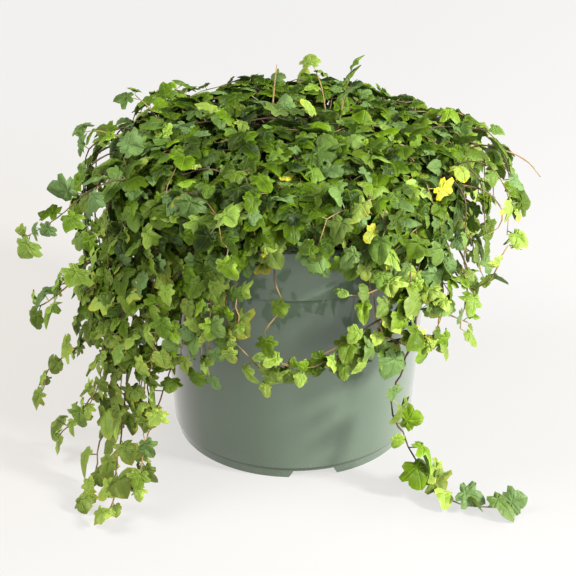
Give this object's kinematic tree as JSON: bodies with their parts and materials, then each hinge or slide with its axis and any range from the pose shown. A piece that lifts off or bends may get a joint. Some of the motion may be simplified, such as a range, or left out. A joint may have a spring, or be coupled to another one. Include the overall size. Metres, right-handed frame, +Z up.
{
  "type": "potted plant",
  "caption": "Trailing fig with small lobed leaves, in a domed head and long hanging stems that spill over a round tapered plastic nursery pot.",
  "frame": {"origin": "on the pot's axis, in the plane that the pot stands on, at the middle of the pot's underside", "axes": "+Z up along the pot's axis, -Y towards the viewer of the picture, +X to the viewer's right"},
  "size_m": [0.2889, 0.2472, 0.2263],
  "materials": {
    "pot_plastic": "sage green moulded plastic with a soft sheen",
    "potting_mix": "dark crumbly potting mix, rough",
    "crown_leaves": "small living leaves, deep to mid green, slightly glossy",
    "trailing_leaves": "small living leaves, mid to lime green, on thin brown stems"
  },
  "bodies": {
    "root": {"crown": "crown_leaves", "pot": "pot_plastic", "soil": "potting_mix", "stem_back_01": "trailing_leaves", "stem_back_02": "trailing_leaves", "stem_back_03": "trailing_leaves", "stem_back_04": "trailing_leaves", "stem_back_05": "trailing_leaves", "stem_back_06": "trailing_leaves", "stem_back_07": "trailing_leaves", "stem_front_01": "trailing_leaves", "stem_front_02": "trailing_leaves", "stem_front_03": "trailing_leaves", "stem_front_04": "trailing_leaves", "stem_left_01": "trailing_leaves", "stem_left_02": "trailing_leaves", "stem_left_03": "trailing_leaves", "stem_left_04": "trailing_leaves", "stem_left_05": "trailing_leaves", "stem_left_06": "trailing_leaves", "stem_left_07": "trailing_leaves", "stem_left_08": "trailing_leaves", "stem_right_01": "trailing_leaves", "stem_right_02": "trailing_leaves", "stem_right_03": "trailing_leaves", "stem_right_04": "trailing_leaves", "stem_right_05": "trailing_leaves"}
  },
  "joints": []
}
